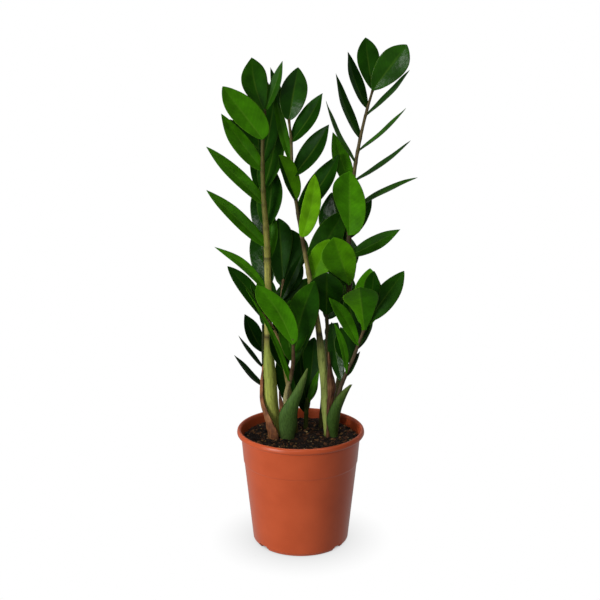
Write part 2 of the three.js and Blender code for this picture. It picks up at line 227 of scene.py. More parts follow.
def drain_cutters():
    """A rod through the floor at each drain hole."""
    cutters = []
    for i in range(DRAIN_COUNT):
        form = bmesh.new()
        bmesh.ops.create_cone(form, cap_ends=True, segments=DRAIN_SEGMENTS, radius1=DRAIN_RADIUS * MM,
                              radius2=DRAIN_RADIUS * MM, depth=6 * FLOOR * MM)
        bmesh.ops.translate(form, vec=(DRAIN_CIRCLE * MM, 0, FLOOR_HEIGHT * MM), verts=form.verts)
        cutters.append(as_object("drain", form, Matrix.Rotation(2 * math.pi * i / DRAIN_COUNT, 4, "Z")))
    return cutters


def cut_away(piece, cutters):
    """Cuts the cutters out of a piece and deletes them."""
    for cutter in cutters:
        cut = piece.modifiers.new("cut", "BOOLEAN")
        cut.object = cutter
        cut.operation = "DIFFERENCE"
        cut.solver = "EXACT"
    shape = piece.evaluated_get(bpy.context.evaluated_depsgraph_get())
    cut_mesh = bpy.data.meshes.new_from_object(shape)
    piece.modifiers.clear()
    piece.data = cut_mesh
    for cutter in cutters:
        bpy.data.objects.remove(cutter)


pot = place("pot_moulded", *turned(rounded(pot_profile()), POT_SEGMENTS), [moulded_polypropylene()])
cut_away(pot, notch_cutters() + drain_cutters())
pot.data.shade_smooth()
pot.data.set_sharp_from_angle(angle=math.radians(SHARP_ANGLE))
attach(pot, "root")
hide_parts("pot")

# --- Soil ------------------------------------------------------------------------------------------------
# Damp peat, filled in loose and settled to 12 mm below the rim. Crumbs of 1 to 8 mm, bark fibres and a few
# pale flecks lie on it.

SOIL_HEIGHT = 145
SOIL_EDGE = 76.2
SOIL_GAP = 0.4
SOIL_RINGS = 70
SOIL_SEGMENTS = 180
LUMP_HEIGHT = 1.1
FINE_HEIGHT = 2.2
FINE_WIDTH = 5
EDGE_START = 68
EDGE_WIDTH = 9
EDGE_SINK = 1.5
STREW_RADIUS = 74.7
CRUMB_SIZES = (0.7, 1.1, 1.5, 2.0, 2.6, 3.4)
CRUMB_COLOURS = ("#0A0604", "#140B06", "#1E1109", "#2C190D", "#402513", "#583820", "#70502F")
FLECK_SIZE = 0.55
FLECK_COLOURS = ("#A8905A", "#8A7440", "#C4AC78", "#9A7A3A")
FIBRE_LENGTHS = (3, 9)
FIBRE_WIDTHS = (0.25, 0.6)
FULL_TURN = 6.3


def soil_top(x, y):
    """The height of the soil's top at a place: lumps that fade to the edge, and fine crumbling."""
    edge = min(max((math.hypot(x, y) - EDGE_START) / EDGE_WIDTH, 0), 1)
    lump = math.sin(x / 9 + 1) * math.cos(y / 8) + 0.6 * math.sin((x + 2 * y) / 11)
    fine = noise.fractal(Vector((x / FINE_WIDTH, y / FINE_WIDTH, 0.3)), 1.0, 2.0, 4)
    return SOIL_HEIGHT + LUMP_HEIGHT * lump * (1 - edge) + FINE_HEIGHT * fine - EDGE_SINK * edge


def damp_peat():
    """Damp peat: nearly black between the crumbs, rough, with no shine but a faint wetness."""
    material, tree, shader = new_material("damp_peat")
    where = add(tree, "TexCoord", output="Object")
    tint = add(tree, "Attribute", attribute_name="tint")
    grit = add(tree, "TexNoise", {"Vector": where, "Scale": 1 / (1.1 * MM), "Detail": 5})
    light = add(tree, "MapRange", {
        "Value": grit, "From Min": 0.3, "From Max": 0.7, "To Min": 0.3, "To Max": 1.7})
    colour = add(tree, "VectorMath", {0: tint, "Scale": light}, operation="SCALE")
    bump = add(tree, "Bump", {"Height": grit, "Strength": 0.9, "Distance": 0.8 * MM})
    feed(tree, shader, {
        "Base Color": colour,
        "Normal": bump,
        "Roughness": 0.85,
        "IOR": 1.35,
    })
    return material


def tinted(piece, tints):
    """Gives each point of a piece its own colour."""
    tint = piece.data.color_attributes.new("tint", "FLOAT_COLOR", "POINT")
    tint.data.foreach_set("color", [v for t in tints for v in t])


def soil_body():
    """The soil's points and faces: its side follows the inside of the pot, a small gap away."""
    floor_top = FLOOR_HEIGHT + FLOOR + SOIL_GAP
    side = [
        (0, FLOOR + SOIL_GAP), (PAD_RADIUS - 1.6, FLOOR + SOIL_GAP), (PAD_RADIUS + 2.6, floor_top),
        (FOOT_RADIUS - FOOT_WIDTH + 1.8, floor_top),
        (HEEL_RADIUS - WALL - SOIL_GAP + 0.1, floor_top + HEEL_RISE),
        (STEP_RADIUS - WALL - SOIL_GAP, STEP_LOW + 0.6),
    ]
    top = [(SOIL_EDGE * (1 - i / SOIL_RINGS), SOIL_HEIGHT) for i in range(SOIL_RINGS + 1)]
    points, faces = turned(side + top, SOIL_SEGMENTS)
    return [(x, y, soil_top(x, y) if z >= SOIL_HEIGHT else z) for x, y, z in points], faces


peat = damp_peat()
points, faces = soil_body()
soil = place("peat_bed", points, faces, [peat])
tinted(soil, [linear("#1C120B")] * len(points))
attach(soil, "root")
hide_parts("soil")

lump_form = bmesh.new()
bmesh.ops.create_icosphere(lump_form, subdivisions=1, radius=1)
CRUMB_CORNERS = [tuple(v.co) for v in lump_form.verts]
CRUMB_FACES = [tuple(v.index for v in f.verts) for f in lump_form.faces]
lump_form.free()


def tumbled(chance, axis, tip):
    """A turn about the upright, with a tip to one side."""
    spin = Matrix.Rotation(chance.uniform(0, FULL_TURN), 3, "Z")
    return spin @ Matrix.Rotation(chance.uniform(-tip, tip), 3, axis)


def crumb(chance, colour):
    """One crumb: a twelve-cornered lump, pressed flat a little and turned any way."""
    size = chance.choice(CRUMB_SIZES) * chance.uniform(0.7, 1.2)
    form = Matrix.Diagonal((size, size * chance.uniform(0.6, 1), size * chance.uniform(0.45, 0.8)))
    spin = tumbled(chance, "X", 0.7)
    corners = [Vector(c).normalized() * chance.uniform(0.8, 1.2) for c in CRUMB_CORNERS]
    return [spin @ (form @ c) for c in corners], CRUMB_FACES, [colour] * len(corners)


def fleck(chance, colour):
    """One pale fleck: a crumb, shrunk to a chip."""
    corners, skin, colours = crumb(chance, colour)
    return [c * FLECK_SIZE for c in corners], skin, colours


def fibre(chance, colour):
    """One bark fibre: a thin bent sliver."""
    length, thick = chance.uniform(*FIBRE_LENGTHS), chance.uniform(*FIBRE_WIDTHS)
    spin = tumbled(chance, "Y", 0.25)
    bend = chance.uniform(-1, 1)
    corners = []
    for step in range(4):
        t = step / 3 - 0.5
        fat = thick * (1.2 - 1.6 * abs(t))
        for dy, dz in ((-1, 0), (0, -1), (1, 0), (0, 1)):
            corners.append(spin @ Vector((length * t, dy * fat + bend * t * t * 2, dz * fat * 0.6)))
    sides = [(4 * i + j, 4 * i + (j + 1) % 4, 4 * i + 4 + (j + 1) % 4, 4 * i + 4 + j)
             for i in range(3) for j in range(4)]
    return corners, sides + [(3, 2, 1, 0), (12, 13, 14, 15)], [colour] * len(corners)


def scatter(make, count, colours, seed, sink):
    """Strews small pieces evenly over the soil."""
    chance = random.Random(seed)
    points, faces, tints = [], [], []
    for _ in range(count):
        radius = STREW_RADIUS * math.sqrt(chance.random())
        angle = chance.uniform(0, 2 * math.pi)
        x, y = radius * math.cos(angle), radius * math.sin(angle)
        spot = Vector((x, y, soil_top(x, y) - sink * chance.random()))
        corners, skin, colour = make(chance, linear(chance.choice(colours)))
        faces += [tuple(len(points) + i for i in face) for face in skin]
        points += [spot + c for c in corners]
        tints += colour
    return points, faces, tints


# Each row is a name, what makes one, how many, their colours, the seed and how deep they sink.
SCATTERS = (
    ("peat_crumbs", crumb, 3600, CRUMB_COLOURS, 7, 2.4),
    ("pale_flecks", fleck, 110, FLECK_COLOURS, 11, 0.2),
    ("bark_fibres", fibre, 320, CRUMB_COLOURS + FLECK_COLOURS, 13, 0.4),
)
for name, make, count, colours, seed, sink in SCATTERS:
    points, faces, tints = scatter(make, count, colours, seed, sink)
    strewn = place(name, points, faces, [peat], smooth=False)
    tinted(strewn, tints)
    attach(strewn, "root")

# --- Stalks ----------------------------------------------------------------------------------------------
# Each stalk is one compound leaf that grew from a tuber in the peat: a fleshy stem, thick at the foot and
# darkly ringed below its leaflets, and stiff waxy leaflets in two rows. Young ones are bright green and old
# ones dark, and the wax of a few old ones is polished.

BOW = -0.055
FOLD = 0.24
FOLD_ROUND = 0.012
FOLD_DROP = 0.11
BLADE = 0.8
MIDRIB = 0.35
MIDRIB_WIDTH = 0.9
LEAF_OUTLINE = ((0, 0.04), (0.05, 0.27), (0.14, 0.52), (0.27, 0.78), (0.42, 0.96), (0.55, 1), (0.68, 0.92),
                (0.8, 0.69), (0.9, 0.38), (0.96, 0.16), (1, 0))
WIDEST = 0.55
NECK_LENGTH = 0.09
NECK_REACH = 1.2
NECK_STOUTNESS = 1.1
SEAT_ANGLE = 8
TWIST = 6
WAVE_HEIGHTS = (0.15, 0.5)
WAVE_COUNTS = (1.3, 2.4)
ALONG_STEPS = 30
ACROSS = (-1, -0.93, -0.78, -0.55, -0.3, -0.12, -0.04, 0.04, 0.12, 0.3, 0.55, 0.78, 0.93, 1)
LEAFLET_SCALE = 0.994
TONES = [(0.0, "#0C2704"), (0.25, "#153A04"), (0.5, "#275604"), (0.75, "#3A7405"), (1.0, "#5E980A")]
TONE_DRIFT = 0.03
STEM_SIDES = 20
STEM_STEP = 2.5
NODE_LENGTH = 2.6
NODE_SWELL = 0.16
NODE_DARK = 0.3
VEINS = 14
VEIN_SLANT = -0.22

# Sizes are in millimetres and angles in degrees. A tint is (height, colour), a stem row (height, x, y,
# radius), and a leaflet row (height, lean, away, length, width, turn, bow, tone): lean is to the right, away
# is from the front, turn lifts its face to the sky, bow bends it along its length and tone picks its green.
# What sets a leaflet apart follows: curve bends it sideways, widest is where along it each half is broadest,
# full makes it fuller the less it is, sides are its halves' widths and tones its halves' greens,
# left first, which differ as painted shade on a half turned from the light and painted light on a half turned
# to it, and polished is its wax.
STALKS = {
    "stalk_left_tall": dict(
        slot="leaf_young",
        tints=[(118, "#5E5028"), (146, "#8C9042"), (200, "#9AA44C"), (262, "#869440"), (278, "#7E7A3E"),
               (283, "#33261A"), (287, "#92904A"), (340, "#9C9A4C"), (383, "#949248"), (386, "#2A221A"),
               (389, "#88863E"), (440, "#6C6830"), (480, "#5E5C2C"), (530, "#4C4824"), (576, "#504826")],
        stem=[(118, -33, -1, 7), (150, -34, -1, 7.5), (172, -37, -1, 9.2), (195, -40, 0, 10),
              (225, -41, 0, 9), (258, -42, 0, 6.6), (280, -43, 0, 5), (350, -42.5, 0, 4.4),
              (420, -44, 0, 3.8), (470, -47.5, 0, 3.1), (530, -48, 0, 2.3), (576, -45, 0, 1.8)],
        leaflets=[
            (573, -13, -5, 69, 33, 10, BOW, 0.5, dict(curve=0.05, widest=(0.62, 0.62), tones=(0.4, 0.34))),
            (539, -36, -17, 86, 38, 10, -0.03, 0.64, dict(widest=(0.6, 0.4), full=0.8, sides=(0.8, 1.12))),
            (500, -36, 0, 88, 29, 38, -0.02, 0.66, dict(widest=(0.5, 0.42), full=0.9, sides=(1.2, 0.75))),
            (457, -45, 0, 103, 24, 46, 0, 0.66, dict(widest=(0.5, 0.47), full=0.85)),
            (401, -46, 0, 107, 24, 46, 0, 0.66, dict(widest=(0.5, 0.47), full=0.85)),
            (341, -48, -4, 93, 13, 30, 0.05, 0.72, dict(curve=-0.06)),
            (574, 5, 25, 40, 16, 20, BOW, 0.45), (573, 20, -2, 67, 15, 26, BOW, 0.4),
            (507, 10, 28, 108, 26, 10, BOW, 0.16), (474, 12, 29, 98, 36, 30, BOW, 0.3),
            (426, 6, 22, 84, 35, 20, BOW, 0.25), (382, 6, 18, 67, 20, 20, BOW, 0.55)]),
    "stalk_left_back": dict(
        slot="leaf_old",
        tints=[(118, "#2A3016"), (260, "#262E12"), (400, "#222A10"), (534, "#3A3A1E")],
        stem=[(118, -37, 41, 4.5), (160, -38, 43, 4.5), (250, -41, 52, 3.6), (335, -44, 54, 3.2),
              (400, -49, 56, 2.8), (534, -51, 54, 1.8)],
        leaflets=[
            (518, -44, -4, 60, 26, 40, BOW, 0.15), (458, -4, 8, 84, 28, 15, BOW, 0.25),
            (400, -7, 10, 78, 28, -8, BOW, 0.2, dict(polished=True)),
            (335, -10, 13, 90, 36, -12, BOW, 0.26, dict(polished=True)),
            (533, 14, 30, 62, 26, 10, BOW, 0.2), (497, 14, 52, 72, 30, 10, BOW, 0.35),
            (438, 8, 55, 76, 31, 15, BOW, 0.3), (370, 0, 55, 78, 32, 10, BOW, 0.35),
            (300, -10, 45, 70, 30, 20, BOW, 0.3)]),
    "stalk_left_low": dict(
        slot="leaf_old",
        tints=[(118, "#2E3A1A"), (292, "#2A3218")],
        stem=[(118, -38, 20, 3.6), (160, -41, 20, 3.6), (205, -47.5, 22, 3), (255, -50, 22, 2.2),
              (292, -50, 22, 1.5)],
        leaflets=[
            (255, -25, 0, 58, 26, 44, BOW, 0.03), (233, -36, -4, 57, 18, 82, BOW, 0.15),
            (205, -41, -4, 63, 20, 79, BOW, 0.15), (292, 14, 14, 46, 20, 20, BOW, 0.2),
            (266, 45, 10, 42, 22, 30, BOW, 0.2)]),
    "stalk_left_leaning": dict(
        slot="leaf_old",
        tints=[(118, "#4A4020"), (200, "#6A6434"), (276, "#8A7448"), (318, "#7A6A40")],
        stem=[(118, -5, 11, 3.8), (160, -8, 9, 3.8), (219, -17, -3, 3), (276, -27, -12, 2.3),
              (299, -37, -14, 2), (318, -50, -15, 1.5)],
        leaflets=[
            (301, -35, -3, 97, 22, 22, BOW, 0.22, dict(curve=-0.05, widest=(0.55, 0.6), full=0.8)),
            (295, -26, -7, 69, 20, 82, BOW, 0.25), (318, -32, 16, 42, 16, 50, BOW, 0.25),
            (262, 4, 20, 60, 26, 40, BOW, 0.2), (240, -12, -2, 70, 30, 30, BOW, 0.08),
            (178, -14, 8, 82, 24, 10, BOW, 0.12)]),
    "stalk_middle_back": dict(
        slot="leaf_old",
        tints=[(118, "#33331C"), (250, "#4A4226"), (350, "#7A6446")],
        stem=[(118, -16, 38, 4), (160, -18, 40, 4), (250, -24, 42, 3), (311, -26, 40, 2.4),
              (350, -23, 40, 1.7)],
        leaflets=[
            (346, -4, 2, 87, 34, -5, BOW, 0.28, dict(widest=(0.5, 0.72), full=0.8, tones=(0.12, 0.26))),
            (347, 8, 10, 71, 43, 3, BOW, 0.24, dict(widest=(0.6, 0.64), full=0.7, sides=(1, 1.3))),
            (330, 34, 30, 56, 27, 10, BOW, 0.06),
            (322, 23, -10, 77, 14, 10, 0, 0.06), (310, 44, 16, 58, 27, 30, BOW, 0.32),
            (340, 12, 55, 62, 30, 15, BOW, 0.3), (305, 20, 60, 70, 31, 15, BOW, 0.3),
            (278, -5, 55, 66, 30, 15, BOW, 0.3)]),
    "stalk_centre_tall": dict(
        slot="leaf_old",
        tints=[(118, "#4A4424"), (150, "#7E8A44"), (200, "#95A354"), (266, "#8C9850"), (281, "#6E6A44"),
               (286, "#2A2620"), (291, "#928C50"), (330, "#948A54"), (375, "#8E8450"), (392, "#72683E"),
               (403, "#403420"), (412, "#443A24"), (416, "#8A8258"), (420, "#443A24"), (520, "#54502C"),
               (564, "#54482C")],
        stem=[(118, 37, 3, 5.4), (152, 36.5, 3, 5.8), (187, 33, 2, 5.8), (215, 32, 2, 5.8),
              (257, 27.5, 2, 5.6), (277, 25.3, 2, 4.4), (311, 20.5, 2, 3.6), (357, 12, 2, 3.2),
              (413, 2, 2, 2.7), (468, -7, 4, 2.3), (506, -11, 6, 2), (535, -12, 7, 1.8), (564, -15, 8, 1.6)],
        leaflets=[
            (562, 10, -3, 67, 34, -6, BOW, 0.3,
             dict(widest=(0.5, 0.55), full=0.85, tones=(0.18, 0.34), polished=True)),
            (561, -20, 20, 75, 14, 30, BOW, 0.15), (535, 33, -3, 73, 29, 42, BOW, 0.22),
            (492, 35, -1, 80, 32, 40, BOW, 0.1), (505, -14, 9, 98, 13, 14, BOW, 0.6),
            (462, -20, -22, 68, 26, 42, BOW, 0.8,
             dict(curve=-0.04, full=0.7, tones=(0.25, 0.84), sides=(0.6, 1.35))),
            (444, 35, 6, 93, 34, 40, BOW, 0.2),
            (415, 11, -17, 88, 24, -7, BOW, 1.0, dict(curve=-0.05, widest=(0.5, 0.42), full=0.75)),
            (354, 24, 4, 62, 32, 5, BOW, 0.9, dict(widest=(0.55, 0.5), full=0.75, tones=(0.9, 0.84))),
            (366, 32, 28, 101, 38, 5, BOW, 0.36, dict(widest=(0.55, 0.5), full=0.8)),
            (438, 38, 52, 72, 26, 10, BOW, 0.3)]),
    "stalk_right_tall": dict(
        slot="leaf_old",
        tints=[(118, "#33331C"), (240, "#5A5630"), (300, "#706A38"), (347, "#3A3020"), (413, "#403622"),
               (470, "#6E6440"), (534, "#5A5034"), (600, "#52482A")],
        stem=[(118, 42, 34, 4.6), (152, 43, 33, 4.6), (250, 57, 27, 4), (347, 64, 22, 3.6),
              (413, 63, 22, 3.1), (495, 69, 21, 2.5), (534, 75, 19, 2.2), (571, 83, 17, 1.9),
              (600, 91, 16, 1.6)],
        leaflets=[
            (599, -9, -5, 66, 29, 10, BOW, 0.3, dict(widest=(0.62, 0.6), full=0.85)),
            (599, 36, -12, 71, 37, 1, BOW, 0.34, dict(widest=(0.58, 0.62), full=0.8, polished=True)),
            (576, -20, 0, 75, 25, 50, BOW, 0.2), (567, 44, 2, 80, 24, 78, BOW, 0.25),
            (538, -21, 2, 88, 24, 58, BOW, 0.3, dict(widest=(0.42, 0.42))),
            (522, 48, 0, 82, 24, 84, BOW, 0.5), (507, -26, -1, 88, 24, 76, -0.07, 0.5),
            (483, 54, -1, 90, 24, 82, BOW, 0.3),
            (471, -19, -8, 82, 23, 14, BOW, 0.72, dict(tones=(0.6, 0.7))),
            (443, 61.5, -5, 98, 24, 81, 0.03, 0.45), (407, 29, 24, 70, 22, 40, BOW, 0.26),
            (414, -1, -19, 91, 43, -4, BOW, 0.86, dict(widest=(0.72, 0.43), full=0.75, tones=(0.62, 0.74))),
            (385, 62, 2, 76, 20, 24, BOW, 0.46),
            (348, -18, -34, 90, 43, 2, 0.02, 0.84,
             dict(widest=(0.72, 0.64), full=0.75, sides=(1.1, 0.92), tones=(0.77, 0.82))),
            (377, -15, 22, 98, 42, -10, BOW, 0.15,
             dict(widest=(0.6, 0.72), full=0.9, sides=(1.25, 1), polished=True)),
            (346, -25, 26, 92, 42, 10, BOW, 0.3, dict(full=0.8)),
            (438, -8, 54, 76, 30, 10, BOW, 0.35), (366, -5, 56, 74, 31, 10, BOW, 0.35),
            (312, -5, 46, 72, 31, 15, BOW, 0.3)]),
    "stalk_right_leaning": dict(
        slot="leaf_young",
        tints=[(118, "#33331C"), (185, "#3A2E24"), (218, "#4C4030"), (270, "#544634"), (316, "#5A4E30")],
        stem=[(118, 46, 14, 3.8), (150, 46, 12, 3.8), (185, 48.5, 1, 3.3), (218, 53, -12, 2.8),
              (256, 67, -21, 2.4), (296, 80, -29, 2), (316, 88, -32, 1.7)],
        leaflets=[
            (313, 33, -9, 80, 29, 2, 0, 0.3, dict(full=0.85)),
            (304, 4, 6, 75, 38, 10, BOW, 0.68, dict(full=0.8)),
            (306, 6, -14, 77, 22, 20, BOW, 0.22, dict(widest=(0.65, 0.65), full=0.8)),
            (300, -8, -34, 79, 45, 0, -0.1, 0.7, dict(widest=(0.82, 0.72), full=0.6, tones=(0.8, 0.5))),
            (278, -30, -15, 81, 19, 26, BOW, 0.68, dict(curve=-0.06)),
            (282, -16, 12, 64, 24, 5, BOW, 0.08), (238, -14, -14, 78, 9.5, 10, 0, 0.64, dict(curve=-0.055)),
            (251, -16, 12, 50, 30, 5, BOW, 0.12),
            (223, -10, 9, 82, 19, -12, BOW, 0.24, dict(curve=0.035, full=0.8, polished=True)),
            (230, 29, 0, 42, 20, 74, BOW, 0.12), (268, 30, 19, 50, 22, 72, BOW, 0.1)]),
    "stalk_front_low": dict(
        slot="leaf_young",
        tints=[(118, "#5A5030"), (185, "#A2A070"), (225, "#80744C"), (240, "#4C3C28"), (290, "#54422E")],
        stem=[(118, -16, 2, 5), (150, -17, 0, 5), (185, -19.5, -8, 4.4), (210, -18.5, -17, 3.4),
              (240, -12, -28, 2.7), (262, -9.5, -36, 2.3), (290, -10, -43, 1.8)],
        leaflets=[
            (284, -29, -12, 94, 31, 8, BOW, 0.72, dict(curve=-0.055, widest=(0.66, 0.42), full=0.72)),
            (230, -24, -6, 140, 8, 28, 0.03, 0.62, dict(curve=-0.03, widest=(0.25, 0.25))),
            (246, 14, 0, 122, 40, -4, BOW, 0.4, dict(curve=0.04, widest=(0.7, 0.6), tones=(0.46, 0.26))),
            (258, -3, 14, 80, 34, 10, BOW, 0.4, dict(full=0.8)), (268, 16, 28, 56, 22, 20, BOW, 0.3)]),
    "stalk_right_back": dict(
        slot="leaf_old",
        tints=[(118, "#33331C"), (220, "#4E4A28"), (309, "#3A3A20")],
        stem=[(118, 27, 31, 3.6), (150, 28, 31, 3.6), (220, 33, 33, 3.1), (274, 36, 34, 2.9),
              (309, 34, 34, 1.9)],
        leaflets=[
            (305, -1, -38, 85, 46, -6, BOW, 0.26, dict(widest=(0.64, 0.62), full=0.7)),
            (306, -20, 20, 54, 26, 30, BOW, 0.2), (296, 30, 50, 66, 29, 15, BOW, 0.3),
            (268, 50, 66, 50, 22, 15, BOW, 0.3), (240, 18, 70, 60, 28, 15, BOW, 0.3)]),
    "shoot_centre_back": dict(
        slot="leaf_old",
        tints=[(118, "#3A3A1E"), (187, "#4A5A24")],
        stem=[(118, 7, 33, 3.2), (150, 7, 32, 3.2), (187, 9, 31, 2.2)],
        leaflets=[
            (178, 18, -3, 54, 9, 12, BOW, 0.7, dict(polished=True)),
            (181, 6, 3, 92, 27, 14, BOW, 0.2, dict(widest=(0.74, 0.7), full=0.85)),
            (176, -8, 10, 83, 32, 20, BOW, 0.1), (165, -12, 14, 60, 22, 10, BOW, 0.12),
            (180, 10, 50, 60, 24, 10, BOW, 0.3)]),
}


def between(stops, at):
    """The linear colour at a place along (place, sRGB hex) stops."""
    for (low, first), (high, second) in zip(stops, stops[1:]):
        if at <= high:
            t = min(max((at - low) / (high - low), 0), 1)
            return [a * (1 - t) + b * t for a, b in zip(linear(first), linear(second))]
    return list(linear(stops[-1][1]))


def row_at(rows, height):
    """The values beside the height, on a smooth curve through the rows."""
    i = 0
    while i < len(rows) - 2 and height > rows[i + 1][0]:
        i += 1
    low, high = rows[i], rows[i + 1]
    span = high[0] - low[0]
    t = (height - low[0]) / span

    def slope(row, column):
        before, after = rows[max(row - 1, 0)], rows[min(row + 1, len(rows) - 1)]
        return (after[column] - before[column]) / (after[0] - before[0])

    return [
        low[c] * (1 + 2 * t) * (1 - t) ** 2 + high[c] * t * t * (3 - 2 * t)
        + span * t * (1 - t) * (slope(i, c) * (1 - t) - slope(i + 1, c) * t)
        for c in range(1, len(low))
    ]


class Growth:
    """Points and faces of one piece as it is put together, with what its materials need."""

    def __init__(self):
        self.points, self.faces, self.kinds, self.tints, self.blades = [], [], [], [], []

    def closed_skin(self, rings, kind, tints, blades):
        """Adds rings of equal length, joined into a closed skin. Kind is the material's place in the list."""
        first, count = len(self.points), len(rings[0])
        for ring, ring_tints, ring_blades in zip(rings, tints, blades):
            self.points += ring
            self.tints += ring_tints
            self.blades += ring_blades
        for i in range(len(rings) - 1):
            for j in range(count):
                a, b = first + i * count + j, first + i * count + (j + 1) % count
                self.faces.append((a, b, b + count, a + count))
        last = first + (len(rings) - 1) * count
        self.faces.append(tuple(range(first + count - 1, first - 1, -1)))
        self.faces.append(tuple(range(last, last + count)))
        self.kinds += [kind] * (len(self.faces) - len(self.kinds))

    def two_skins(self, upper, lower, kind, tints, blades):
        """Joins the upper and lower skin of a blade along its margins into one closed form."""
        rings, ring_tints, ring_blades = [], [], []
        for tops, unders, colours, spots in zip(upper, lower, tints, blades):
            rings.append(tops + unders[-2:0:-1])
            ring_tints.append(colours + colours[-2:0:-1])
            ring_blades.append(spots + [(s, a, -1 - tone) for s, a, tone in spots[-2:0:-1]])
        self.closed_skin(rings, kind, ring_tints, ring_blades)

    def done(self, name, materials):
        """The finished object. Its points carry a tint, and where on the blade they are."""
        piece = place(name, self.points, self.faces, materials)
        piece.data.polygons.foreach_set("material_index", self.kinds)
        tinted(piece, self.tints)
        blade = piece.data.attributes.new("blade", "FLOAT_VECTOR", "POINT")
        blade.data.foreach_set("vector", [v for b in self.blades for v in b])
        return piece


def grow_stem(growth, stem, tints, leaflets):
    """The stem, swollen and dark at each node where a leaflet joins, and rounded off at its top."""
    low, high = stem[0][0], stem[-1][0]
    steps = math.ceil((high - low) / STEM_STEP)
    turns = [2 * math.pi * side / STEM_SIDES for side in range(STEM_SIDES)]
    rings, colours, blades = [], [], []
    for i in range(steps + 2):
        height = min(low + (high - low) * i / steps, high)
        x, y, radius = row_at(stem, height)
        node = min(sum(math.exp(-((height - row[0]) / NODE_LENGTH) ** 2) for row in leaflets), 1.2)
        radius *= 1 + NODE_SWELL * node
        if i > steps:
            height += 0.6 * radius
            radius *= 0.4
        rings.append([Vector((x + radius * math.cos(t), y + radius * math.sin(t), height)) for t in turns])
        light = 1 - NODE_DARK * node
        colours.append([[c * light for c in between(tints, height)[:3]] + [1]] * STEM_SIDES)
        blades.append([(height * MM, 0, 0)] * STEM_SIDES)
    growth.closed_skin(rings, 0, colours, blades)


def leaflet_frame(lean, away):
    """The directions of a leaflet: along it, to the front square to that, and up square to both."""
    lean, away = math.radians(lean), math.radians(away)
    along = Vector((math.sin(lean) * math.cos(away), math.sin(away), math.cos(lean) * math.cos(away)))
    front = Vector((0, -1, 0))
    front = (front - along * front.dot(along)).normalized()
    skyward = along.cross(front) * (1 if lean < 0 else -1)
    return along, front, skyward


def half_reaches(s, width, own):
    """How far the left and right half reach from the midrib at a share of the length."""
    reaches = []
    for side, widest in zip(own.get("sides", (1, 1)), own.get("widest", (0.5, 0.5))):
        pull = math.log(WIDEST) / math.log(widest)
        share = max(row_at(LEAF_OUTLINE, s ** pull)[0], 0) ** own.get("full", 1)
        reaches.append(width / 2 * side * share)
    return [max(reach, NECK_REACH) for reach in reaches] if s < 0.5 else reaches


def blade_section(middle, face, side, reaches, s, ripple):
    """The blade's upper and lower points across one place: folded and rippled, stout at the neck and along
    the midrib, and thin at its margins."""
    neck = max(0, 1 - s / NECK_LENGTH)
    thick = BLADE * (1 + NECK_STOUTNESS * neck) * min(1, 0.3 + reaches[0] / 2)
    tops, unders = [], []
    for a in ACROSS:
        reach = reaches[0] if a > 0 else reaches[1]
        lift = (math.sqrt(a * a + FOLD_ROUND) - FOLD_DROP) * reach * FOLD + ripple * a * a * (1 - neck)
        body = thick * 0.5 * (1 - abs(a) ** 3)
        rib = MIDRIB * math.exp(-(a * reach / MIDRIB_WIDTH) ** 2) * (1 - s)
        spot = middle + side * (a * reach)
        tops.append(spot + face * (lift + body - 0.4 * rib))
        unders.append(spot + face * (lift - body - rib))
    return tops, unders


def grow_leaflet(growth, stem, row, chance):
    """One leaflet: pointed, folded along its midrib, cupped and a little wavy."""
    *numbers, own = row if isinstance(row[-1], dict) else (*row, {})
    height, lean, away, length, width, turn, bow, tone = numbers
    length *= LEAFLET_SCALE
    drift = chance.uniform(-TONE_DRIFT, TONE_DRIFT)
    # Each half may take its own green. Where the two differ, the darker is painted shade on a half turned
    # from the light, and the brighter is painted light on a half turned to it.
    left, right = (between(TONES, min(max(half + drift, 0), 1)) for half in own.get("tones", (tone, tone)))
    wave, waves = chance.uniform(*WAVE_HEIGHTS), chance.uniform(*WAVE_COUNTS)
    phase, twist = chance.uniform(0, FULL_TURN), chance.uniform(-TWIST, TWIST)
    x, y, radius = row_at(stem, height)
    seat = Vector((0, min(max(away / SEAT_ANGLE, -1), 1) * (radius + BLADE), 0))
    along, front, skyward = leaflet_frame(lean, away)
    upper, lower, tints, blades = [], [], [], []
    for i in range(ALONG_STEPS + 1):
        s = 0.5 - 0.5 * math.cos(math.pi * i / ALONG_STEPS)
        angle = math.radians(turn + twist * (s - 0.5))
        face = front * math.cos(angle) + skyward * math.sin(angle)
        side = face.cross(along)
        middle = Vector((x, y, height)) + seat * (1 - s) ** 3 + along * (length * s)
        middle += (face * bow + side * own.get("curve", 0)) * (length * math.sin(math.pi * s))
        ripple = wave * math.sin(2 * math.pi * waves * s + phase)
        tops, unders = blade_section(middle, face, side, half_reaches(s, width, own), s, ripple)
        upper.append(tops)
        lower.append(unders)
        tints.append([left if a > 0 else right for a in ACROSS])
        blades.append([(s, a, tone) for a in ACROSS])
    growth.two_skins(upper, lower, 2 if own.get("polished") else 1, tints, blades)


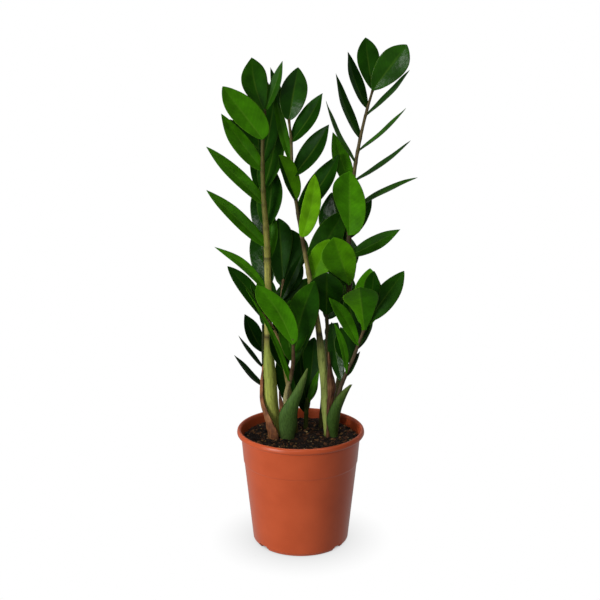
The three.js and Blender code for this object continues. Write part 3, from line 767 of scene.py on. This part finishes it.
def living_stem():
    """Fleshy green stem, smooth and satin: fine lengthwise flecks and streaks over the colour it grew."""
    material, tree, shader = new_material("living_stem")
    where = add(tree, "TexCoord", output="Object")
    tint = add(tree, "Attribute", attribute_name="tint")
    long = add(tree, "Mapping", {"Vector": where, "Scale": (1, 1, 0.09)})
    streak = add(tree, "TexNoise", {"Vector": long, "Scale": 1 / (1.6 * MM), "Detail": 3})
    short = add(tree, "Mapping", {"Vector": where, "Scale": (1, 1, 0.35)})
    fleck = add(tree, "TexNoise", {"Vector": short, "Scale": 1 / (2.2 * MM), "Detail": 2})
    dark = add(tree, "MapRange", {
        "Value": fleck, "From Min": 0.56, "From Max": 0.7, "To Min": 1, "To Max": 0.62})
    light = add(tree, "MapRange", {
        "Value": streak, "From Min": 0.3, "From Max": 0.7, "To Min": 0.72, "To Max": 1.25})
    both = add(tree, "Math", {0: dark, 1: light}, operation="MULTIPLY")
    colour = add(tree, "VectorMath", {0: tint, "Scale": both}, operation="SCALE")
    bump = add(tree, "Bump", {"Height": streak, "Strength": 0.25, "Distance": 0.25 * MM})
    feed(tree, shader, {
        "Base Color": colour,
        "Normal": bump,
        "Roughness": 0.45,
        "IOR": 1.42,
        "Specular IOR Level": 0.12,
    })
    return material


def blade_colour(tree, along, off, under, comb):
    """A blade's own green, drifting slowly, with faint veins, a pale midrib that fades to the tip, a thin
    bright margin, and a paler underside."""
    where = add(tree, "TexCoord", output="Object")
    tint = add(tree, "Attribute", attribute_name="tint")
    drift = add(tree, "TexNoise", {"Vector": where, "Scale": 1 / (16 * MM), "Detail": 4})
    light = add(tree, "MapRange", {
        "Value": drift, "From Min": 0.3, "From Max": 0.7, "To Min": 0.72, "To Max": 1.28})
    vein = add(tree, "MapRange", {"Value": comb, "From Min": 0.5, "From Max": 1, "To Min": 1, "To Max": 1.1})
    gain = add(tree, "Math", {0: light, 1: vein}, operation="MULTIPLY")
    veined = add(tree, "VectorMath", {0: tint, "Scale": gain}, operation="SCALE")
    rib = add(tree, "MapRange", {
        "Value": off, "From Min": 0.09, "From Max": 0.03, "To Min": 0, "To Max": 0.4})
    fading = add(tree, "MapRange", {
        "Value": along, "From Min": 0.45, "From Max": 0.95, "To Min": 1, "To Max": 0.2})
    midrib = add(tree, "Math", {0: rib, 1: fading}, operation="MULTIPLY")
    margin = add(tree, "MapRange", {
        "Value": off, "From Min": 0.92, "From Max": 0.985, "To Min": 0, "To Max": 0.6})
    line = add(tree, "Math", {0: midrib, 1: margin}, operation="MAXIMUM")
    pale = add(tree, "Mix", {"Factor": 0.2, "A": tint, "B": linear("#8FB043")}, data_type="RGBA")
    upper = add(tree, "Mix", {"Factor": line, "A": veined, "B": pale}, data_type="RGBA")
    below = add(tree, "Mix", {"Factor": 0.35, "A": upper, "B": linear("#4F7034")}, data_type="RGBA")
    return add(tree, "Mix", {"Factor": under, "A": upper, "B": below}, data_type="RGBA")


def waxy_leaf(name, dimples, polish, shine):
    """Leaf with a thick wax skin, satin or polished. The wax lies in shallow dimples that break a reflection
    into patches, with faint ridges over the veins. Bright blades are a little duller, and so is below."""
    material, tree, shader = new_material(name)
    where = add(tree, "TexCoord", output="Object")
    blade = add(tree, "Attribute", output="Vector", attribute_name="blade")
    part = add(tree, "SeparateXYZ", {"Vector": blade}).node.outputs
    along, tone = part["X"], part["Z"]
    off = add(tree, "Math", {0: part["Y"]}, operation="ABSOLUTE")
    under = add(tree, "Math", {0: tone, 1: -0.5}, operation="LESS_THAN")
    slant = add(tree, "Math", {0: off, 1: VEIN_SLANT, 2: along}, operation="MULTIPLY_ADD")
    turns = add(tree, "Math", {0: slant, 1: VEINS * 2 * math.pi}, operation="MULTIPLY")
    comb = add(tree, "Math", {0: turns}, operation="SINE")
    wax = add(tree, "TexNoise", {"Vector": where, "Scale": 1 / (9 * MM), "Detail": 1.5})
    dimpled = add(tree, "Bump", {"Height": wax, "Strength": dimples, "Distance": 0.9 * MM})
    ridged = add(tree, "Bump", {"Height": comb, "Strength": 0.06, "Distance": 0.12 * MM, "Normal": dimpled})
    satin = add(tree, "MapRange", {
        "Value": tone, "From Min": 0.2, "From Max": 0.7, "To Min": polish, "To Max": polish + 0.1})
    gloss = add(tree, "Mix", {"Factor": under, "A": satin, "B": 0.5})
    feed(tree, shader, {
        "Base Color": blade_colour(tree, along, off, under, comb),
        "Normal": ridged,
        "Roughness": gloss,
        "IOR": 1.42,
        "Specular IOR Level": shine,
    })
    return material


stem_skin = living_stem()
leaf_skin = waxy_leaf("waxy_leaf", 0.4, 0.36, 0.07)
polished_skin = waxy_leaf("polished_leaf", 0.5, 0.22, 0.2)
for name, stalk in STALKS.items():
    growth = Growth()
    grow_stem(growth, stalk["stem"], stalk["tints"], stalk["leaflets"])
    for index, row in enumerate(stalk["leaflets"]):
        grow_leaflet(growth, stalk["stem"], row, random.Random(f"{name} {index}"))
    piece = growth.done(name + "_grown", [stem_skin, leaf_skin, polished_skin])
    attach(piece, "root")
    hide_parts(name)

# --- Sheaths ---------------------------------------------------------------------------------------------
# Leafless wrappers at the feet of the stalks. Two are fleshy and green, three have dried to brown paper.
# Rows are (height, x, y, facing, half width, bulge, thickness); facing is degrees from the front.

SHEATH_STEPS = 40
SHEATH_ACROSS = 15
SHEATH_TIP = 0.3
RAGGED_WAVES = ((0.07, 23), (0.05, 61))
CREASE = 0.25
SHEATHS = {
    "sheath_green_front": dict(dry=False, tint="#FFFFFF", rows=[
        (118, -17, -13, 0, 7, 3, 2.4), (146, -17.5, -14, 0, 9, 4, 2.6), (166, -17, -19, 0, 12, 5, 2.6),
        (185, -16, -25, 0, 12, 5, 2.4), (200, -11, -29, 0, 9.5, 4, 2.2), (216, -4, -33, 0, 7, 3, 2),
        (236, 3.5, -38, 0, 4, 1.5, 1.6), (251, 8.5, -42, 0, 1, 0.3, 1)]),
    "sheath_green_right": dict(dry=False, tint="#DCE0C8", rows=[
        (118, 45, -5, 0, 4, 2, 2.2), (149, 44, -6.5, 0, 5.6, 3, 2.6), (172, 43, -12.5, 0, 8.8, 4.6, 2.6),
        (187, 45.5, -17, 0, 8, 4, 2.4), (204, 52, -22, 0, 6.6, 3, 2.2), (216, 58.5, -25, 0, 4.6, 2, 1.8),
        (225, 65.5, -27, 0, 1.6, 0.5, 1.2)]),
    "sheath_brown_left": dict(dry=True, tint="#FFF4E6", rows=[
        (118, -35.5, -12, -22, 7, 2.4, 0.9), (150, -36.5, -12.6, -25, 8, 2.6, 0.9),
        (170, -42, -11.5, -45, 8, 3, 0.9), (195, -50.5, -5, -70, 7, 2.4, 0.9),
        (220, -50.8, -2, -74, 5.5, 2, 0.9), (243, -49.4, -1, -76, 1.4, 0.3, 0.9)]),
    "sheath_brown_centre": dict(dry=True, tint="#B8B4A8", rows=[
        (118, 36.5, -5.2, 8, 2.6, 0.8, 0.9), (150, 36.5, -5.6, 8, 2.6, 0.8, 0.9),
        (187, 37.6, -6.4, 20, 3.6, 1.2, 0.9), (211, 41, -6.5, 30, 7, 2.6, 0.9),
        (230, 39, -6.5, 34, 5, 1.8, 0.9), (263, 36.5, -5.5, 30, 1, 0.3, 0.9)]),
    "sheath_brown_small": dict(dry=True, tint="#C0B0A0", rows=[
        (118, -23.5, -7, 10, 2.4, 0.6, 0.9), (150, -24, -8, 10, 2.6, 0.6, 0.9),
        (190, -25.5, -14, 0, 3, 0.8, 0.9), (213, -28, -17, 0, 0.8, 0.2, 0.9)]),
}


def grow_sheath(growth, rows, dry, tint, chance):
    """A strip that curves round the stalk behind it, thin at its margins and drawn to a point. A dry one is
    ragged and creased."""
    low, high = rows[0][0], rows[-1][0]
    phase = chance.uniform(0, FULL_TURN)
    shares = [2 * j / (SHEATH_ACROSS - 1) - 1 for j in range(SHEATH_ACROSS)]
    creases = [CREASE * math.sin(9 * a + phase) if dry else 0 for a in shares]
    (rough, rough_waves), (fine, fine_waves) = RAGGED_WAVES
    upper, lower, tints, blades = [], [], [], []
    for i in range(SHEATH_STEPS + 1):
        s = i / SHEATH_STEPS
        height = low + (high - low) * s
        x, y, facing, half, bulge, thickness = row_at(rows, height)
        angle = math.radians(facing)
        sideways = Vector((math.cos(angle), math.sin(angle), 0))
        outward = Vector((math.sin(angle), -math.cos(angle), 0))
        ragged = rough * math.sin(rough_waves * s + phase) + fine * math.sin(fine_waves * s) if dry else 0
        half = max(half, SHEATH_TIP) * (1 + ragged)
        middles = [Vector((x, y, height)) + sideways * (a * half) + outward * (bulge * (1 - a * a) + crease)
                   for a, crease in zip(shares, creases)]
        bodies = [outward * (thickness / 2 * (1 - abs(a) ** 4)) for a in shares]
        upper.append([middle + body for middle, body in zip(middles, bodies)])
        lower.append([middle - body for middle, body in zip(middles, bodies)])
        tints.append([linear(tint)] * SHEATH_ACROSS)
        blades.append([(s, a, 0.5) for a in shares])
    growth.two_skins(upper, lower, 0, tints, blades)


def fleshy_sheath():
    """Thick green sheath, matte and a little downy: fine lengthwise ribs about a millimetre apart, and paler
    at its foot and tip."""
    material, tree, shader = new_material("fleshy_sheath")
    where = add(tree, "TexCoord", output="Object")
    tint = add(tree, "Attribute", attribute_name="tint")
    blade = add(tree, "Attribute", output="Vector", attribute_name="blade")
    part = add(tree, "SeparateXYZ", {"Vector": blade}).node.outputs
    body = add(tree, "ValToRGB", {"Fac": part["X"]}, stops=[
        (0.1, "#46582A"), (0.35, "#3E5826"), (0.7, "#426026"), (1, "#56682E")])
    own = add(tree, "VectorMath", {0: body, 1: tint}, operation="MULTIPLY")
    long = add(tree, "Mapping", {"Vector": where, "Scale": (1, 1, 0.06)})
    rib = add(tree, "TexNoise", {"Vector": long, "Scale": 1 / (1.3 * MM), "Detail": 3})
    light = add(tree, "MapRange", {
        "Value": rib, "From Min": 0.3, "From Max": 0.7, "To Min": 0.62, "To Max": 1.3})
    colour = add(tree, "VectorMath", {0: own, "Scale": light}, operation="SCALE")
    bump = add(tree, "Bump", {"Height": rib, "Strength": 0.4, "Distance": 0.3 * MM})
    feed(tree, shader, {
        "Base Color": colour,
        "Normal": bump,
        "Roughness": 0.6,
        "IOR": 1.4,
        "Specular IOR Level": 0.2,
    })
    return material


def papery_sheath():
    """Dry sheath, like brown paper: long fibres and darker blotches, dull and rough."""
    material, tree, shader = new_material("papery_sheath")
    where = add(tree, "TexCoord", output="Object")
    tint = add(tree, "Attribute", attribute_name="tint")
    long = add(tree, "Mapping", {"Vector": where, "Scale": (1, 1, 0.05)})
    fibres = add(tree, "TexNoise", {"Vector": long, "Scale": 1 / (1 * MM), "Detail": 4})
    blotch = add(tree, "TexNoise", {"Vector": where, "Scale": 1 / (14 * MM), "Detail": 3})
    both = add(tree, "Math", {0: fibres, 1: 0.55, 2: blotch}, operation="MULTIPLY_ADD")
    paper = add(tree, "ValToRGB", {"Fac": both}, stops=[
        (0.5, "#33200F"), (0.7, "#643C20"), (0.85, "#8A5A34"), (1, "#AC8056")])
    colour = add(tree, "VectorMath", {0: paper, 1: tint}, operation="MULTIPLY")
    bump = add(tree, "Bump", {"Height": fibres, "Strength": 0.6, "Distance": 0.4 * MM})
    feed(tree, shader, {
        "Base Color": colour,
        "Normal": bump,
        "Roughness": 0.7,
        "IOR": 1.45,
    })
    return material


green_skin = fleshy_sheath()
brown_skin = papery_sheath()
for name, sheath in SHEATHS.items():
    growth = Growth()
    grow_sheath(growth, sheath["rows"], sheath["dry"], sheath["tint"], random.Random(name))
    piece = growth.done(name + "_grown", [brown_skin if sheath["dry"] else green_skin])
    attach(piece, "root")
    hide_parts(name)

# --- Studio ----------------------------------------------------------------------------------------------
# A white floor and surround. A large soft light stands low at the left and a wide one hangs overhead, with
# a small card at the front and a weak one at the right. The camera stands at the photograph's place.

FLOOR_HALF = 6000
FLOOR_DROP = 0.1
SHADE_REACH = 0.06
SHADE_DEPTH = 0.6
LENS = 66
SENSOR = 36
CAMERA_PLACE = (-0.0009, -1.3943, 0.6517)
CAMERA_PITCH = 12.94
PLANT_MIDDLE = (0, 0, 0.3)


def glowing_paper_painted_shade():
    """White seamless paper that glows white of itself, as no lamp lights it. Painted shade, found by
    occlusion, darkens the glow a little near what stands on it, and a painted dark lies under the pot where
    no light gets in."""
    material, tree, shader = new_material("glowing_paper_painted_shade")
    open_air = add(tree, "AmbientOcclusion", {"Distance": SHADE_REACH}, output="AO", samples=32)
    # Painted shade: the glow dims near what stands on the paper and goes dark under the pot.
    near = add(tree, "MapRange", {"Value": open_air, "To Min": SHADE_DEPTH, "To Max": 1})
    covered = add(tree, "MapRange", {
        "Value": open_air, "From Min": 0.02, "From Max": 0.2, "To Min": 0.04, "To Max": 1})
    glow = add(tree, "Math", {0: near, 1: covered}, operation="MULTIPLY")
    feed(tree, shader, {
        "Emission Strength": glow,
        "Emission Color": linear("#FFFFFF"),
        "Base Color": linear("#000000"),
        "Roughness": 0.9,
        "Specular IOR Level": 0,
    })
    return material


corners = [(x * FLOOR_HALF, y * FLOOR_HALF, -FLOOR_DROP) for x, y in ((-1, -1), (1, -1), (1, 1), (-1, 1))]
floor = place("floor", corners, [(0, 1, 2, 3)], [glowing_paper_painted_shade()])
floor.visible_diffuse = False
floor.visible_glossy = False


def softbox(name, spot, size, power):
    """A soft light that faces the middle of the plant."""
    light = bpy.data.lights.new(name, "AREA")
    light.shape = "RECTANGLE"
    light.size, light.size_y = size
    light.energy = power
    made = bpy.data.objects.new(name, light)
    made.location = spot
    made.rotation_euler = (Vector(PLANT_MIDDLE) - Vector(spot)).to_track_quat("-Z", "Y").to_euler()
    bpy.context.scene.collection.objects.link(made)


softbox("key_light", (-1.5, -1.4, 0.5), (0.7, 1.0), 34)
softbox("front_card", (-0.25, -1.9, 1.1), (0.35, 0.35), 6)
softbox("top_light", (0.0, 0.2, 2.3), (1.2, 0.9), 20)
softbox("right_card", (1.2, -1.1, 1.5), (0.8, 0.8), 4)


def studio_walls(world):
    """White to the eye. As light on the plant it is dim, a little brighter behind the plant and below."""
    world.use_nodes = True
    tree = world.node_tree
    tree.nodes.clear()
    direction = add(tree, "TexCoord", output="Generated")
    toward = add(tree, "SeparateXYZ", {"Vector": direction}).node.outputs
    behind = add(tree, "MapRange", {
        "Value": toward["Y"], "From Min": -0.2, "From Max": 0.9, "To Min": 0.1, "To Max": 0.32})
    below = add(tree, "MapRange", {
        "Value": toward["Z"], "From Min": 0, "From Max": -0.4, "To Min": 0, "To Max": 0.2})
    level = add(tree, "Math", {0: behind, 1: below}, operation="ADD")
    around = add(tree, "Background", {"Color": (1, 1, 1, 1), "Strength": level})
    white = add(tree, "Background", {"Color": (1, 1, 1, 1), "Strength": 1})
    seen = add(tree, "LightPath", output="Is Camera Ray")
    surround = add(tree, "MixShader", {0: seen, 1: around, 2: white})
    add(tree, "OutputWorld", {"Surface": surround})
    return world


camera = bpy.data.cameras.new("camera")
camera.lens = LENS
camera.sensor_width = SENSOR
view = bpy.data.objects.new("camera", camera)
view.location = CAMERA_PLACE
view.rotation_euler = (math.radians(90 - CAMERA_PITCH), 0, 0)
stage = bpy.context.scene
stage.collection.objects.link(view)
stage.camera = view
stage.world = studio_walls(bpy.data.worlds.new("studio"))
stage.view_settings.view_transform = "Standard"
